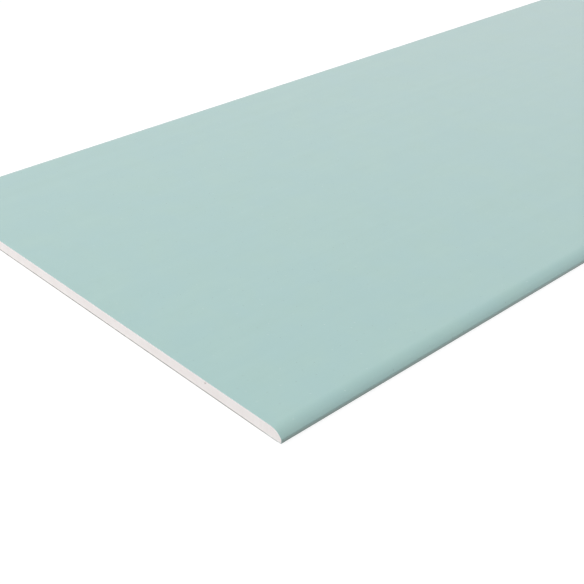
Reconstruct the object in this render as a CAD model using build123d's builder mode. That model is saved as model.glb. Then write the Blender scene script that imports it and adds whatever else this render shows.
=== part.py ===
from build123d import *

import math
import os

# A small-format sheet of moisture-resistant drywall with half-round long edges, lying face up.
#
# A gypsum core is cast between two papers. The green face paper covers the face, goes round both
# long edges and is folded in under the core. The back paper is glued on over those folds and stops
# a little short of the edges. Both ends are cut square, so the core shows there.
#
# Axes: X along the length, Y across the width, Z up through the thickness. The origin is the middle
# of the back, on the surface that the sheet lies on.

# Driving dimensions, in millimetres
length = 2000.0
width = 600.0
thickness = 12.5
face_paper_thickness = 0.35
back_paper_thickness = 0.35

# Long edge: the face rounds off down to a small nose, and the side below it leans in to the back
face_rounding_reach = 13.4
nose_height = 4.4
lower_side_lean = 5.5  # degrees from upright

# Core corners under the paper, at the nose and where the side meets the back
nose_core_radius = 1.6
back_core_radius = 0.5

# Back: from the nose to the end of the folded-in face paper, and to the side of the back paper
fold_reach = 22.0
back_paper_margin = 5.0

# Outer radii of the paper where it goes round the core's corners
nose_radius = nose_core_radius + face_paper_thickness
back_radius = back_core_radius + face_paper_thickness

# The rounding is one arc, tangent to the face and to the small arc of the nose. Its radius follows
# from where it starts on the face and from how high the face is above the nose.
nose_to_face = thickness - nose_height
nose_to_start = face_rounding_reach - nose_radius
face_rounding_radius = (nose_to_start**2 + nose_to_face**2 - nose_radius**2) / (
    2 * (nose_to_face - nose_radius)
)

# How far each arc turns, from the back round to the face. Together they make a half turn.
lean = math.radians(lower_side_lean)
meeting_angle = math.asin(
    (face_rounding_radius - nose_to_face) / (face_rounding_radius - nose_radius)
)
back_turn = 90 - lower_side_lean
nose_turn = lower_side_lean + math.degrees(meeting_angle)
face_turn = 90 - math.degrees(meeting_angle)

# The straight lower side fills what the two arcs leave of the nose's height, and sets how far in
# from the nose the arc at the back has its centre
arcs_height = nose_radius * math.sin(lean) + back_radius * (1 - math.sin(lean))
lower_side_length = (nose_height - back_paper_thickness - arcs_height) / math.cos(lean)
arcs_inset = nose_radius * (1 - math.cos(lean)) + back_radius * math.cos(lean)
back_arc_centre = width / 2 - arcs_inset - lower_side_length * math.sin(lean)

# Ends of the folded-in face paper and width of the back paper
fold_end = width / 2 - fold_reach
back_paper_width = width - 2 * back_paper_margin


def edge_line(depth):
    """Draws half of the section, depth below the outer skin of the face paper: from the end of the
    fold along the back, up the lower side, round the nose and the rounding, then over the face."""
    level = back_paper_thickness + depth
    fold = Line((fold_end, level), (back_arc_centre, level))
    back_arc = JernArc(fold @ 1, fold % 1, back_radius - depth, back_turn)
    lower_side = PolarLine(back_arc @ 1, lower_side_length, direction=back_arc % 1)
    nose = JernArc(lower_side @ 1, lower_side % 1, nose_radius - depth, nose_turn)
    rounding = JernArc(nose @ 1, nose % 1, face_rounding_radius - depth, face_turn)
    face = Line(rounding @ 1, (0, thickness - depth))
    return fold @ 0, face @ 1


# Gypsum core: its back lies on the back paper, set up at both sides by the folded-in face paper
with BuildPart() as gypsum_core:
    with BuildSketch(Plane.YZ):
        with BuildLine():
            fold_start, face_middle = edge_line(face_paper_thickness)
            Polyline(
                face_middle,
                (0, back_paper_thickness),
                (fold_end, back_paper_thickness),
                fold_start,
            )
        make_face()
        mirror(about=Plane.YZ)
    extrude(amount=length / 2, both=True)

# Face paper: one sheet of even thickness, from fold to fold round both long edges
with BuildPart() as face_paper:
    with BuildSketch(Plane.YZ):
        with BuildLine():
            outer_start, outer_middle = edge_line(0)
            inner_start, inner_middle = edge_line(face_paper_thickness)
            Line(outer_start, inner_start)
            Line(outer_middle, inner_middle)
        make_face()
        mirror(about=Plane.YZ)
    extrude(amount=length / 2, both=True)

# Back paper: a flat sheet over the core and the folds
with BuildPart() as back_paper:
    with BuildSketch(Plane.XY):
        Rectangle(length, back_paper_width)
    extrude(amount=back_paper_thickness)

gypsum_core.part.label = "gypsum_core"
face_paper.part.label = "face_paper"
back_paper.part.label = "back_paper"

os.makedirs("parts", exist_ok=True)
export_step(gypsum_core.part, "parts/gypsum_core.step")
export_step(face_paper.part, "parts/face_paper.step")
export_step(back_paper.part, "parts/back_paper.step")
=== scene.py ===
import math

import bmesh
import bpy
import numpy as np
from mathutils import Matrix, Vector


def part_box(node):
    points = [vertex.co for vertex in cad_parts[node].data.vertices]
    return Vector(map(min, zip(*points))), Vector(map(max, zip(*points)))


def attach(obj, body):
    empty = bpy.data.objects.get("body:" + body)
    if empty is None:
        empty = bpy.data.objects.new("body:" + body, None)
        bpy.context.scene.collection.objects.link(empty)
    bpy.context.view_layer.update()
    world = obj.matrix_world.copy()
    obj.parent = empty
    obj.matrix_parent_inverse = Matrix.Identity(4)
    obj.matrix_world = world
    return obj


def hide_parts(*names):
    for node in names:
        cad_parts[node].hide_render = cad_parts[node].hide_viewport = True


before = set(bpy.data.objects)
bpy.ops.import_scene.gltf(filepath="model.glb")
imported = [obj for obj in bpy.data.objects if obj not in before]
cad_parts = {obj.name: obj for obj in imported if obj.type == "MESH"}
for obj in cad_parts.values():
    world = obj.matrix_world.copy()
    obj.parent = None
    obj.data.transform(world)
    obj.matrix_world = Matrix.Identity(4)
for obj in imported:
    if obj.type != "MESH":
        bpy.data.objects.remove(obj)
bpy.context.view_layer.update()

# Looks of a sheet of moisture-resistant drywall, lying face up on a white floor.
#
# Three pieces replace the three CAD nodes, each worked out as whole numpy arrays:
#     gypsum_board_core   the white core, with its pores and cut marks on both cut ends
#     green_face_paper    the paper over the face, round both long edges and folded in at the back
#     grey_back_paper     the paper on the back, glued on over the folds
#
# All sizes are in metres. X runs along the sheet, Y across it and Z up through its thickness.

# Sizes that the frame gives
HALF_LENGTH, HALF_WIDTH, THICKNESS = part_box("face_paper")[1]
FACE_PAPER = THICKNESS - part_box("gypsum_core")[1].z
BACK_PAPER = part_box("back_paper")[1].z
BACK_PAPER_HALF_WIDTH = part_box("back_paper")[1].y

# Long edge, as in the part: rounding, small nose and the lower side that leans in to the back
ROUNDING_REACH = 0.0134
NOSE_HEIGHT = 0.0044
LOWER_SIDE_LEAN = math.radians(5.5)
NOSE_RADIUS = 0.0016 + FACE_PAPER
BACK_RADIUS = 0.0005 + FACE_PAPER
FOLD_REACH = 0.022

# How closely the meshes follow the sheet
EDGE_ARC_STEPS = 32
NOSE_STEPS = 8
ACROSS_STEP = 0.0025
CUT_END_STEP = 0.00045
CUT_END_ROWS = 24
BROKEN_EDGE_ROWS = 5
CLOSEST_SLICES = 0.00002
WELD = 1e-7

# Stations along each half of a paper: close ones up to a reach, then even ones from a share of the half
NEAR_END_REACH = 0.2
NEAR_END_STATIONS = 9
MIDDLE_FROM_SHARE = 0.3
MIDDLE_STATIONS = 8

# Relief of the cut ends and the raw edges of the papers
CUT_UNEVENNESS = 0.00012
CUT_WAVE = 0.03
CUT_WAVE_SHARE = 0.6
CUT_GRAIN = 2 * CUT_END_STEP
PORE_COUNT = 260
PORE_RADII = (0.0003, 0.0006)
PORE_RARITY = 3
PORE_DEPTH_SHARE = 0.8
BROKEN_EDGE_HEIGHT = 0.0006
BROKEN_EDGE_DEPTH = 0.0005
BROKEN_EDGE_GRAIN = 0.004
BROKEN_EDGE_POWER = 1.5
LEAST_CRUMBS, MORE_CRUMBS = 0.6, 0.8
RAW_EDGE_FRAY = 0.00018
RAW_EDGE_GRAIN = 0.006
RAW_EDGE_FINE_GRAIN = RAW_EDGE_GRAIN / 4
RAW_EDGE_COARSE_SHARE = 0.7

# Heights between which painted shade sets in on the lower side of the long edges, greyer and darker below
# the nose, and how strongly it shows
PAINTED_SHADE_HEIGHTS = (0.0041, 0.0034)
PAINTED_SHADE_SHARE = 0.55

# The two joined bubbles that the cut end shows: across from the middle, up from the back, radius and depth
BUBBLES = ((-0.2022, 0.0096, 0.0009, 0.0014), (-0.2032, 0.0093, 0.0007, 0.0011))

# Colours of the face paper, its plies at the cut edge, the back paper and the core
GREEN_DEEP = (0.372, 0.565, 0.537, 1)
GREEN_LIGHT = (0.408, 0.605, 0.576, 1)
GREEN_BLUISH = (0.375, 0.575, 0.575, 1)
# painted shade for the lower side of the long edges, below the nose
GREEN_PAINTED_SHADE = (0.35, 0.45, 0.42, 1)
FLECK_DARK = (0.22, 0.32, 0.31, 1)
FLECK_PALE = (0.75, 0.82, 0.8, 1)
PALE_PLIES = ((0.62, 0.65, 0.64, 1), (0.78, 0.81, 0.8, 1))
# grey fibre of the back paper's cut edge, darker than the paper as painted contact shadow along the floor
GREY_PLIES_AND_PAINTED_SHADE = ((0.27, 0.265, 0.25, 1), (0.37, 0.36, 0.345, 1))
GREY_DEEP = (0.4, 0.385, 0.35, 1)
GREY_LIGHT = (0.54, 0.525, 0.48, 1)
GREY_FLECK = (0.16, 0.15, 0.14, 1)
GYPSUM_WARM = (0.8, 0.745, 0.73, 1)
GYPSUM_WHITE = (0.88, 0.85, 0.84, 1)
# painted shade inside the cut air cells
GYPSUM_PAINTED_CELL_SHADE = (0.5, 0.47, 0.45, 1)
# painted shade, darkest in the deep pores and the crumbled lower edge of the cut ends
GYPSUM_PAINTED_HOLLOW_SHADE = (0.3, 0.285, 0.275, 1)

# Depths between which painted shade in a hollow of the cut end goes from none to its darkest
HOLLOW_SHADE_DEPTHS = (0.0003, 0.0011)

# Threads in the back paper: stretch along the sheet, turn, threads to the metre and colour
GREY_THREADS = (
    (0.12, 0.5, 420, (0.68, 0.66, 0.61, 1)),
    (0.12, -0.9, 380, (0.27, 0.26, 0.24, 1)),
    (0.15, 2.1, 450, (0.62, 0.6, 0.56, 1)),
)

# Camera, from the middle of the near cut end at floor level, and the photograph's frame
CAMERA_FROM_END = (-0.45016, -0.79292, 0.55134)
CAMERA_AZIMUTH = math.radians(-43.144)
CAMERA_ELEVATION = math.radians(31.28)
FOCAL_PIXELS = 1051.42
FRAME_PIXELS = 584
SENSOR_WIDTH = 36.0
PIXEL_FILTER_WIDTH = 1.0

# Floor: its own grey takes the shadow, and its glow makes up what the camera sees to white
FLOOR_HALF_SIZE = 30.0
FLOOR_DROP = 0.0002
FLOOR_SHADE = 0.3
FLOOR_GLOW = 0.77

# Light: strength of the room by direction, and the lamps, placed from the middle of the near cut end
SKY_FROM_ABOVE = 0.2
SKY_FROM_LEFT = 1.8
SKY_FROM_RIGHT = 0.72
LIGHT_FROM_BELOW = 1.5
BELOW_HEIGHTS = (-0.87, -0.93)
LAMPS = (
    # Name, place, where it is aimed, width in metres and watts
    ("lamp_left", (-2.4, -0.2, 1.8), (0.3, 0.0, 0.0), 2.0, 19.0),
    ("lamp_low", (-0.85, 0.35, 0.07), (0.0, 0.1, 0.0), 0.4, 1.28),
    ("lamp_above", (0.3, 0.1, 1.3), (0.3, 0.0, 0.0), 1.0, 2.35),
)

rng = np.random.default_rng(7)


def arc(centre, radius, start, end, steps):
    """Points on a circle from angle start to angle end, as an array of (y, z) rows."""
    angle = np.linspace(start, end, steps + 1)
    return np.column_stack((centre[0] + radius * np.cos(angle), centre[1] + radius * np.sin(angle)))


def edge_section(depth):
    """Half of the section, depth below the skin of the face paper, from the fold's end to the face.

    The arc at the back, the nose and the rounding are circles about fixed centres, so a deeper
    line has smaller radii. The rounding's radius makes it tangent to the face and to the nose.
    """
    face_rise = THICKNESS - NOSE_HEIGHT
    start_run = ROUNDING_REACH - NOSE_RADIUS
    radius = (start_run**2 + face_rise**2 - NOSE_RADIUS**2) / (2 * (face_rise - NOSE_RADIUS))
    meeting = math.asin((radius - face_rise) / (radius - NOSE_RADIUS))
    lean_sin, lean_cos = math.sin(LOWER_SIDE_LEAN), math.cos(LOWER_SIDE_LEAN)
    arcs_height = NOSE_RADIUS * lean_sin + BACK_RADIUS * (1 - lean_sin)
    side_length = (NOSE_HEIGHT - BACK_PAPER - arcs_height) / lean_cos
    arcs_inset = NOSE_RADIUS * (1 - lean_cos) + BACK_RADIUS * lean_cos
    back_y = HALF_WIDTH - arcs_inset - side_length * lean_sin
    quarter = math.pi / 2

    fold = np.array([[HALF_WIDTH - FOLD_REACH, BACK_PAPER + depth]])
    back_centre = (back_y, BACK_PAPER + BACK_RADIUS)
    nose_centre = (HALF_WIDTH - NOSE_RADIUS, NOSE_HEIGHT)
    rounding_centre = (HALF_WIDTH - ROUNDING_REACH, THICKNESS - radius)
    back = arc(back_centre, BACK_RADIUS - depth, -quarter, -LOWER_SIDE_LEAN, NOSE_STEPS)
    nose = arc(nose_centre, NOSE_RADIUS - depth, -LOWER_SIDE_LEAN, meeting, NOSE_STEPS)
    rounding = arc(rounding_centre, radius - depth, meeting, quarter, EDGE_ARC_STEPS)
    return np.concatenate((fold, back, nose, rounding[1:]))


def lattice_noise(u, v, cell):
    """Smooth noise from 0 to 1: random values on a square lattice, blended by a smoothstep in each cell."""
    column, row = u / cell, v / cell
    column, row = column - column.min(), row - row.min()
    values = rng.random((int(column.max()) + 2, int(row.max()) + 2))
    i, j = column.astype(int), row.astype(int)
    a, b = column - i, row - j
    a, b = a * a * (3 - 2 * a), b * b * (3 - 2 * b)
    low = values[i, j] * (1 - a) + values[i + 1, j] * a
    high = values[i, j + 1] * (1 - a) + values[i + 1, j + 1] * a
    return low * (1 - b) + high * b


def mesh_piece(name, points, faces, finishes, finish_of_face, smooth, hollow=None):
    """A mesh object at the origin from arrays of points and of four-cornered faces, with its seams welded.

    hollow, where given, is kept with each point for the finish, which paints shade by it.
    """
    mesh = bpy.data.meshes.new(name)
    mesh.from_pydata(points.tolist(), [], faces.tolist())
    if hollow is not None:
        mesh.attributes.new("hollow", "FLOAT", "POINT").data.foreach_set("value", hollow.astype(np.float32))
    for finish in finishes:
        mesh.materials.append(finish)
    mesh.polygons.foreach_set("material_index", finish_of_face.astype(np.int32))
    mesh.polygons.foreach_set("use_smooth", smooth)
    work = bmesh.new()
    work.from_mesh(mesh)
    bmesh.ops.remove_doubles(work, verts=work.verts, dist=WELD)
    work.to_mesh(mesh)
    work.free()
    mesh.update()
    piece = bpy.data.objects.new(name, mesh)
    bpy.context.scene.collection.objects.link(piece)
    return piece


def grid_faces(index):
    """Four-cornered faces between neighbours of a grid of point numbers."""
    corners = (index[:-1, :-1], index[1:, :-1], index[1:, 1:], index[:-1, 1:])
    return np.stack(corners, axis=-1).reshape(-1, 4)


def paper_shell(name, outer, inner, finishes):
    """A sheet of paper between two grids of points, outer and inner, with its raw rim closed all round.

    The rim joins each border point of the outer grid to the same point of the inner one. The rim and
    the inner side take the second finish.
    """
    rows, columns = outer.shape[:2]
    index = np.arange(rows * columns).reshape(rows, columns)
    under = index + rows * columns
    border = np.concatenate((index[:-1, 0], index[-1, :-1], index[:0:-1, -1], index[0, :0:-1]))
    ring = np.append(border, border[0])
    rim = grid_faces(np.stack((ring, ring + rows * columns), axis=1))
    skin = grid_faces(index)[:, ::-1]
    faces = np.concatenate((skin, grid_faces(under), rim))
    points = np.concatenate((outer.reshape(-1, 3), inner.reshape(-1, 3)))
    number = np.arange(len(faces))
    is_raw, is_smooth = number >= len(skin), number < 2 * len(skin)
    return mesh_piece(name, points, faces, finishes, is_raw, is_smooth)


def along_sheet(fray):
    """Stations along the sheet as shares of each line's own half length, close together at the ends.

    Each line across ends short of the cut by its own fray, so the cut edge is slightly uneven.
    """
    near_end = np.geomspace(RAW_EDGE_FRAY, NEAR_END_REACH, NEAR_END_STATIONS) / HALF_LENGTH
    half = np.concatenate(([0.0], near_end, np.linspace(MIDDLE_FROM_SHARE, 1.0, MIDDLE_STATIONS)))
    share = np.concatenate((half - 1, 1 - half[-2::-1]))
    return share[:, None] * (HALF_LENGTH - fray[None, :])


def paper_grid(line, fray):
    """The section line carried along the sheet: rows are stations along X, columns follow the line."""
    x = along_sheet(fray)
    y, z = (np.broadcast_to(line[:, k], x.shape) for k in (0, 1))
    return np.stack((x, y, z), axis=-1)


def end_fray(path):
    """How far each point of a paper's cut edge stands back from the cut, from noise along the edge."""
    coarse = lattice_noise(path, np.zeros_like(path), RAW_EDGE_GRAIN)
    fine = lattice_noise(path, np.zeros_like(path), RAW_EDGE_FINE_GRAIN)
    return RAW_EDGE_FRAY * (RAW_EDGE_COARSE_SHARE * coarse + (1 - RAW_EDGE_COARSE_SHARE) * fine)


def whole_line(depth):
    """The whole section line, from the fold on the right, over the face, to the fold on the left."""
    right = edge_section(depth)
    face_edge = right[-1]
    steps = int(2 * face_edge[0] / ACROSS_STEP)
    face_y = np.linspace(face_edge[0], -face_edge[0], steps + 1)[1:-1]
    face = np.column_stack((face_y, np.full_like(face_y, face_edge[1])))
    return np.concatenate((right, face, right[::-1] * (-1, 1)))


def green_face_paper(finishes):
    """Paper of even thickness, from the fold under one long edge over the face to the other fold."""
    outer_line, inner_line = whole_line(0), whole_line(FACE_PAPER)
    step = np.linalg.norm(np.diff(outer_line, axis=0), axis=1)
    fray = end_fray(np.concatenate(([0.0], np.cumsum(step))))
    outer, inner = paper_grid(outer_line, fray), paper_grid(inner_line, fray)
    return paper_shell("green_face_paper", outer, inner, finishes)


def grey_back_paper(finishes):
    """A flat paper on the underside, from one long side to the other, with uneven cut ends."""
    steps = int(2 * BACK_PAPER_HALF_WIDTH / ACROSS_STEP)
    y = np.linspace(-BACK_PAPER_HALF_WIDTH, BACK_PAPER_HALF_WIDTH, steps + 1)
    fray = end_fray(y)
    outer = paper_grid(np.column_stack((y, np.zeros_like(y))), fray)
    inner = paper_grid(np.column_stack((y, np.full_like(y, BACK_PAPER))), fray)
    return paper_shell("grey_back_paper", outer, inner, finishes)


def pore_relief(y, z, pores):
    """Depth of round pores: each a half ellipsoid of its own radius and depth, the deepest one counting."""
    centre_y, centre_z, radius, depth = (pores[:, k] for k in range(4))
    distance = np.hypot(y[..., None] - centre_y, z[..., None] - centre_z) / radius
    return (np.sqrt(np.clip(1 - distance**2, 0, None)) * depth).max(axis=-1)


def broken_edge(y, z):
    """How far the cut end's lower edge has crumbled: a hollow curve that ends a little above the core's
    back, which is higher where it lies on the folded-in paper.
    """
    core_back = np.where(abs(y) < HALF_WIDTH - FOLD_REACH, BACK_PAPER, BACK_PAPER + FACE_PAPER)
    near_back = np.clip(1 - (z - core_back) / BROKEN_EDGE_HEIGHT, 0, None)
    crumbs = LEAST_CRUMBS + MORE_CRUMBS * lattice_noise(y, np.zeros_like(z), BROKEN_EDGE_GRAIN)
    return BROKEN_EDGE_DEPTH * crumbs * near_back**BROKEN_EDGE_POWER


def cut_relief(y, z, pores):
    """How far a cut end stands back from the plane of the cut: long waves, fine grain, pores, broken edge.

    The second array gives how deep the point is in a pore or in the broken edge, which the finish turns
    into painted shade.
    """
    waves = lattice_noise(y, z, CUT_WAVE)
    grain = lattice_noise(y, z, CUT_GRAIN)
    uneven = CUT_UNEVENNESS * (CUT_WAVE_SHARE * waves + (1 - CUT_WAVE_SHARE) * grain)
    hollow = np.maximum(pore_relief(y, z, pores), broken_edge(y, z))
    return uneven + hollow, hollow


def random_pores():
    """Places, radii and depths of the pores on one cut end, many small ones and few large ones."""
    y = rng.uniform(-HALF_WIDTH, HALF_WIDTH, PORE_COUNT)
    z = rng.uniform(0, THICKNESS, PORE_COUNT)
    small, large = PORE_RADII
    radius = small + (large - small) * rng.random(PORE_COUNT) ** PORE_RARITY
    return np.column_stack((y, z, radius, radius * PORE_DEPTH_SHARE))


def gypsum_board_core(finish):
    """The core: each slice across the width is a closed loop, up the left end, along under the face
    paper, down the right end and back along the back. The slices shrink to a line at both noses.
    """
    line = edge_section(FACE_PAPER)
    nose = int(line[:, 0].argmax())
    lower, upper = line[: nose + 1], line[nose:][::-1]
    flat_edge = lower[1, 0] - BACK_RADIUS
    steps = int(2 * flat_edge / CUT_END_STEP)
    side = np.unique(np.concatenate((lower[1:, 0], upper[1:, 0])))
    side = side[side > flat_edge]
    side = side[np.append(np.diff(side) > CLOSEST_SLICES, True)]
    y = np.concatenate((-side[::-1], np.linspace(-flat_edge, flat_edge, steps + 1), side))
    step_up = HALF_WIDTH - FOLD_REACH
    low_z = np.interp(abs(y), lower[1:, 0], lower[1:, 1])
    low_z = np.where(abs(y) < step_up, BACK_PAPER, low_z)
    high_z = np.interp(abs(y), upper[:, 0], upper[:, 1])

    broken_share = BROKEN_EDGE_HEIGHT / THICKNESS
    low_rows = np.linspace(0, broken_share, BROKEN_EDGE_ROWS + 1)[:-1]
    share = np.concatenate((low_rows, np.linspace(broken_share, 1, CUT_END_ROWS + 1)))
    z = low_z[:, None] + share * (high_z - low_z)[:, None]
    across = np.broadcast_to(y[:, None], z.shape)
    left_back, left_hollow = cut_relief(across, z, np.concatenate((random_pores(), BUBBLES)))
    right_back, right_hollow = cut_relief(across, z, random_pores())
    hollow = np.concatenate((left_hollow, right_hollow[:, ::-1]), axis=1)
    loop_x = np.concatenate((left_back - HALF_LENGTH, HALF_LENGTH - right_back[:, ::-1]), axis=1)
    loop_z = np.concatenate((z, z[:, ::-1]), axis=1)
    loop_y = np.broadcast_to(y[:, None], loop_z.shape)
    points = np.stack((loop_x, loop_y, loop_z), axis=-1).reshape(-1, 3)

    slices, loop = loop_z.shape
    index = np.arange(slices * loop).reshape(slices, loop)
    faces = grid_faces(np.concatenate((index, index[:, :1]), axis=1))[:, ::-1]
    plain = np.zeros(len(faces), dtype=bool)
    return mesh_piece("gypsum_board_core", points, faces, [finish], plain, plain, hollow.ravel())


def add_node(tree, kind, inputs, **settings):
    """A new node: its settings by name, and each input either a value or the socket to link to it."""
    made = tree.nodes.new("ShaderNode" + kind)
    for key, value in settings.items():
        setattr(made, key, value)
    for key, value in inputs.items():
        if isinstance(value, bpy.types.NodeSocket):
            tree.links.new(value, made.inputs[key])
        else:
            made.inputs[key].default_value = value
    return made


def new_finish(name, **shader_values):
    """A material, its shader with the given values, and the coordinates of the sheet in metres."""
    material = bpy.data.materials.new(name)
    material.use_nodes = True
    tree = material.node_tree
    shader = tree.nodes["Principled BSDF"]
    for key, value in shader_values.items():
        shader.inputs[key.replace("_", " ").title().replace("Ior", "IOR")].default_value = value
    return material, tree, shader, add_node(tree, "TexCoord", {}).outputs["Object"]


def stretched(tree, place, scale, turn=0.0):
    """Coordinates scaled along each axis, after a turn about the upright axis."""
    turned = add_node(tree, "Mapping", {"Vector": place, "Rotation": (0, 0, turn)}).outputs[0]
    return add_node(tree, "Mapping", {"Vector": turned, "Scale": scale}).outputs[0]


def noise(tree, place, scale, detail=3.0, roughness=0.55):
    """Cloudy noise from 0 to 1, scale being the number of clouds to the metre."""
    inputs = {"Vector": place, "Scale": scale, "Detail": detail, "Roughness": roughness}
    return add_node(tree, "TexNoise", inputs).outputs[0]


def ranged(tree, value, lowest, highest, low=0.0, high=1.0):
    """The value's range from lowest to highest, spread over low to high and held there."""
    ends = {"Value": value, "From Min": lowest, "From Max": highest, "To Min": low, "To Max": high}
    return add_node(tree, "MapRange", ends).outputs[0]


def combined(tree, operation, first, second):
    """Two values put together by the operation of that name."""
    return add_node(tree, "Math", {0: first, 1: second}, operation=operation).outputs[0]


def blended(tree, share, first, second):
    """A colour between first and second, by a share from 0 to 1."""
    return add_node(tree, "Mix", {0: share, 6: first, 7: second}, data_type="RGBA").outputs[2]


def spots(tree, place, spacing, radius, kept, dimensions="2D"):
    """1 inside round spots, 0 outside: one spot to a cell of the given spacing, in a share of the cells."""
    inputs = {"Vector": place, "Scale": 1 / spacing}
    cells = add_node(tree, "TexVoronoi", inputs, voronoi_dimensions=dimensions)
    inside = ranged(tree, cells.outputs["Distance"], radius / spacing, 0.5 * radius / spacing)
    lot = add_node(tree, "SeparateColor", {0: cells.outputs["Color"]}).outputs[0]
    return combined(tree, "MULTIPLY", inside, combined(tree, "LESS_THAN", lot, kept))


def roughened(tree, shader, height, distance, strength):
    """Fine relief that is too small for the mesh."""
    bump = add_node(tree, "Bump", {"Height": height, "Distance": distance, "Strength": strength})
    tree.links.new(bump.outputs[0], shader.inputs["Normal"])


def green_paper_finish():
    """Dyed paper: felted fibres that lie mostly along the sheet, soft clouds and streaks, scattered flecks.

    Below the nose the long edges get painted shade: their colour turns greyer and darker there.
    """
    material, tree, shader, place = new_finish(
        "green_paper", specular_ior_level=0.5, sheen_weight=0.7, sheen_roughness=0.4
    )
    fibres = noise(tree, stretched(tree, place, (0.35, 1, 1)), scale=1800, roughness=0.6)
    clouds = noise(tree, place, scale=40, detail=5.0)
    streaks = noise(tree, stretched(tree, place, (0.02, 1, 1)), scale=70)
    tone = combined(tree, "ADD", combined(tree, "ADD", fibres, clouds), streaks)
    tone = ranged(tree, tone, 0.8, 2.2)
    colour = blended(tree, tone, GREEN_DEEP, GREEN_LIGHT)
    tint = ranged(tree, noise(tree, place, scale=22, detail=3.0), 0.35, 0.65, 0.0, 0.5)
    colour = blended(tree, tint, colour, GREEN_BLUISH)
    dark = spots(tree, place, spacing=0.016, radius=0.0007, kept=0.35)
    colour = blended(tree, combined(tree, "MULTIPLY", dark, 0.35), colour, FLECK_DARK)
    turned = stretched(tree, place, (0.7, 1, 1), turn=0.6)
    pale = spots(tree, turned, spacing=0.019, radius=0.0008, kept=0.35)
    colour = blended(tree, combined(tree, "MULTIPLY", pale, 0.2), colour, FLECK_PALE)
    height = add_node(tree, "SeparateXYZ", {0: place}).outputs["Z"]
    # painted shade: the colour turns greyer and darker below the nose
    painted_shade = ranged(tree, height, *PAINTED_SHADE_HEIGHTS, 0.0, PAINTED_SHADE_SHARE)
    colour = blended(tree, painted_shade, colour, GREEN_PAINTED_SHADE)
    tree.links.new(colour, shader.inputs["Base Color"])
    tree.links.new(ranged(tree, fibres, 0.3, 0.7, 0.45, 0.58), shader.inputs["Roughness"])
    roughened(tree, shader, fibres, distance=0.00004, strength=0.6)
    return material


def raw_edge_finish(name, dark, light):
    """The torn plies at a paper's cut edge: fine threads along the edge, in two shades."""
    material, tree, shader, place = new_finish(name, roughness=0.95, specular_ior_level=0.2)
    threads = noise(tree, stretched(tree, place, (1, 0.25, 1)), scale=3200, detail=2.0)
    patches = noise(tree, place, scale=220)
    tone = ranged(tree, combined(tree, "ADD", threads, patches), 0.7, 1.3)
    tree.links.new(blended(tree, tone, dark, light), shader.inputs["Base Color"])
    roughened(tree, shader, threads, distance=0.00005, strength=0.8)
    return material


def grey_paper_finish():
    """Paper of recycled fibre: grey with clouds, pale and dark threads lying every way, and dark flecks."""
    material, tree, shader, place = new_finish("grey_paper", specular_ior_level=0.4, sheen_weight=0.3)
    fibres = noise(tree, stretched(tree, place, (0.4, 1, 1)), scale=1500, roughness=0.6)
    clouds = noise(tree, place, scale=55, detail=5.0)
    tone = ranged(tree, combined(tree, "ADD", fibres, clouds), 0.65, 1.35)
    colour = blended(tree, tone, GREY_DEEP, GREY_LIGHT)
    for stretch, turn, scale, shade in GREY_THREADS:
        lines = noise(tree, stretched(tree, place, (stretch, 1, 1), turn), scale, detail=1.0)
        hair = ranged(tree, lines, 0.66, 0.72)
        colour = blended(tree, combined(tree, "MULTIPLY", hair, 0.6), colour, shade)
    flecks = spots(tree, place, spacing=0.006, radius=0.0005, kept=0.3)
    colour = blended(tree, combined(tree, "MULTIPLY", flecks, 0.7), colour, GREY_FLECK)
    tree.links.new(colour, shader.inputs["Base Color"])
    tree.links.new(ranged(tree, fibres, 0.3, 0.7, 0.75, 0.88), shader.inputs["Roughness"])
    roughened(tree, shader, fibres, distance=0.00005, strength=0.7)
    return material


def gypsum_finish():
    """Set plaster: off-white with faint warm clouds, upright cut marks and fine grain, painted shade in the
    cut air cells and, by depth, in the pores and the crumbled lower edge.
    """
    material, tree, shader, place = new_finish("gypsum_white", specular_ior_level=0.2)
    clouds = noise(tree, place, scale=35, detail=4.0)
    marks = noise(tree, stretched(tree, place, (1, 1, 0.05)), scale=420)
    grain = noise(tree, place, scale=2600, detail=2.0)
    tone = combined(tree, "ADD", combined(tree, "ADD", clouds, marks), grain)
    tone = ranged(tree, tone, 1.0, 2.0)
    colour = blended(tree, tone, GYPSUM_WARM, GYPSUM_WHITE)
    # painted shade: the cut air cells are darker, as their hollows lie in shade
    cells = spots(tree, place, spacing=0.0011, radius=0.0002, kept=0.8, dimensions="3D")
    colour = blended(tree, combined(tree, "MULTIPLY", cells, 0.35), colour, GYPSUM_PAINTED_CELL_SHADE)
    # painted shade: the core turns darker with the depth of its pores and of its crumbled lower edge
    depth = add_node(tree, "Attribute", {}, attribute_name="hollow").outputs["Fac"]
    colour = blended(tree, ranged(tree, depth, *HOLLOW_SHADE_DEPTHS), colour, GYPSUM_PAINTED_HOLLOW_SHADE)
    tree.links.new(colour, shader.inputs["Base Color"])
    tree.links.new(ranged(tree, clouds, 0.3, 0.7, 0.88, 0.97), shader.inputs["Roughness"])
    roughened(tree, shader, combined(tree, "SUBTRACT", grain, cells), distance=0.00008, strength=0.6)
    return material


def put_in_place(piece, node):
    """The piece stands for the CAD node, which is hidden, and rides with the sheet."""
    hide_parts(node)
    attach(piece, "root")


put_in_place(gypsum_board_core(gypsum_finish()), "gypsum_core")
pale_plies = raw_edge_finish("pale_paper_edge", *PALE_PLIES)
# the back paper's raw edge: grey fibre, made darker as painted contact shadow
grey_plies_and_shade = raw_edge_finish("grey_paper_edge_and_shade", *GREY_PLIES_AND_PAINTED_SHADE)
put_in_place(green_face_paper([green_paper_finish(), pale_plies]), "face_paper")
put_in_place(grey_back_paper([grey_paper_finish(), grey_plies_and_shade]), "back_paper")


# Floor, light and camera
def seen_directly(tree):
    """1 for camera, glossy and transmission rays, 0 for the rays that carry light."""
    path = add_node(tree, "LightPath", {}).outputs
    seen = combined(tree, "MAXIMUM", path["Is Camera Ray"], path["Is Glossy Ray"])
    return combined(tree, "MAXIMUM", seen, path["Is Transmission Ray"])


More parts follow.
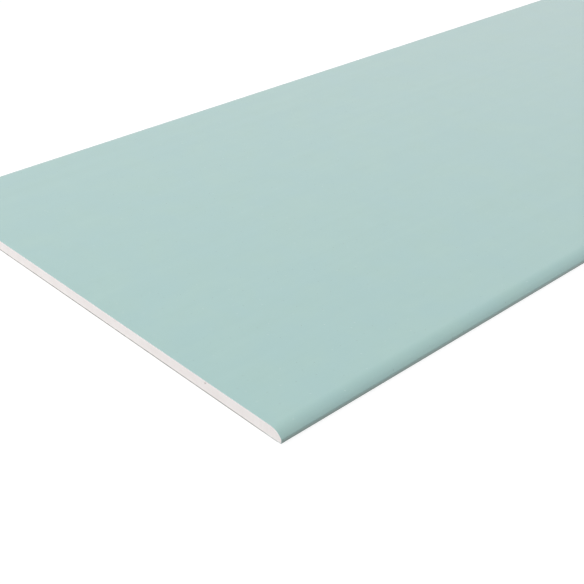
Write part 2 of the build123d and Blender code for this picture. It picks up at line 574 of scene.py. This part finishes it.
def white_floor():
    """A wide floor just under the sheet. The camera sees it white, with the sheet's soft contact shadow.

    From below it is clear, and rays that carry light to the sheet pass it by: the room gives that light.
    """
    x, y = np.array([(-1, -1), (1, -1), (1, 1), (-1, 1)]).T * FLOOR_HALF_SIZE
    mesh = bpy.data.meshes.new("floor")
    mesh.from_pydata(np.column_stack((x, y, np.full(4, -FLOOR_DROP))).tolist(), [], [(0, 1, 2, 3)])
    floor = bpy.data.objects.new("floor", mesh)
    bpy.context.scene.collection.objects.link(floor)
    floor.visible_diffuse = False
    floor.visible_shadow = False

    material = bpy.data.materials.new("floor_white")
    material.use_nodes = True
    material.cycles.emission_sampling = "NONE"
    tree = material.node_tree
    tree.nodes.clear()
    matte = add_node(tree, "BsdfDiffuse", {"Color": (FLOOR_SHADE,) * 3 + (1,)})
    glow = combined(tree, "MULTIPLY", seen_directly(tree), FLOOR_GLOW)
    bright = add_node(tree, "Emission", {"Strength": glow})
    lit = add_node(tree, "AddShader", {0: matte.outputs[0], 1: bright.outputs[0]})
    clear = add_node(tree, "BsdfTransparent", {})
    from_below = add_node(tree, "NewGeometry", {}).outputs["Backfacing"]
    one_way = add_node(tree, "MixShader", {0: from_below, 1: lit.outputs[0], 2: clear.outputs[0]})
    add_node(tree, "OutputMaterial", {"Surface": one_way.outputs[0]})
    mesh.materials.append(material)


def room_light():
    """Soft light by direction: even from above, more from the left, some from the right, and a glow
    straight from below for the sheet's back.
    """
    world = bpy.data.worlds.new("room")
    bpy.context.scene.world = world
    world.use_nodes = True
    tree = world.node_tree
    tree.nodes.clear()
    direction = add_node(tree, "TexCoord", {}).outputs["Generated"]
    x, _, z = add_node(tree, "SeparateXYZ", {0: direction}).outputs
    sky = combined(tree, "ADD", ranged(tree, x, 0.0, -1.0, 0.0, SKY_FROM_LEFT), SKY_FROM_ABOVE)
    sky = combined(tree, "ADD", sky, ranged(tree, x, 0.0, 1.0, 0.0, SKY_FROM_RIGHT))
    low = ranged(tree, z, *BELOW_HEIGHTS, 0.0, LIGHT_FROM_BELOW)
    is_sky = combined(tree, "GREATER_THAN", z, 0.0)
    strength = add_node(tree, "Mix", {0: is_sky, 2: low, 3: sky}).outputs[0]
    light = add_node(tree, "Background", {"Color": (1, 1, 1, 1), "Strength": strength})
    white = add_node(tree, "Background", {"Color": (1, 1, 1, 1)})
    choice = {0: seen_directly(tree), 1: light.outputs[0], 2: white.outputs[0]}
    add_node(tree, "OutputWorld", {"Surface": add_node(tree, "MixShader", choice).outputs[0]})


def soft_lamp(name, from_end, aim_from_end, size, watts):
    """A broad square lamp that the camera does not see, turned to the point that it is aimed at."""
    data = bpy.data.lights.new(name, "AREA")
    data.shape = "SQUARE"
    data.size = size
    data.energy = watts
    lamp = bpy.data.objects.new(name, data)
    lamp.location = np.add((-HALF_LENGTH, 0, 0), from_end)
    lamp.rotation_euler = Vector(np.subtract(aim_from_end, from_end)).to_track_quat("-Z", "Y").to_euler()
    lamp.visible_camera = False
    bpy.context.scene.collection.objects.link(lamp)


def photo_camera():
    """The photograph's camera: level, off the sheet's near corner and looking down across its face."""
    data = bpy.data.cameras.new("camera")
    data.sensor_width = SENSOR_WIDTH
    data.lens = SENSOR_WIDTH * FOCAL_PIXELS / FRAME_PIXELS
    camera = bpy.data.objects.new("camera", data)
    camera.location = np.add((-HALF_LENGTH, 0, 0), CAMERA_FROM_END)
    camera.rotation_euler = (math.pi / 2 - CAMERA_ELEVATION, 0, CAMERA_AZIMUTH)
    bpy.context.scene.collection.objects.link(camera)
    bpy.context.scene.camera = camera


white_floor()
room_light()
for lamp in LAMPS:
    soft_lamp(*lamp)
photo_camera()
bpy.context.scene.view_settings.view_transform = "Standard"
bpy.context.scene.cycles.filter_width = PIXEL_FILTER_WIDTH
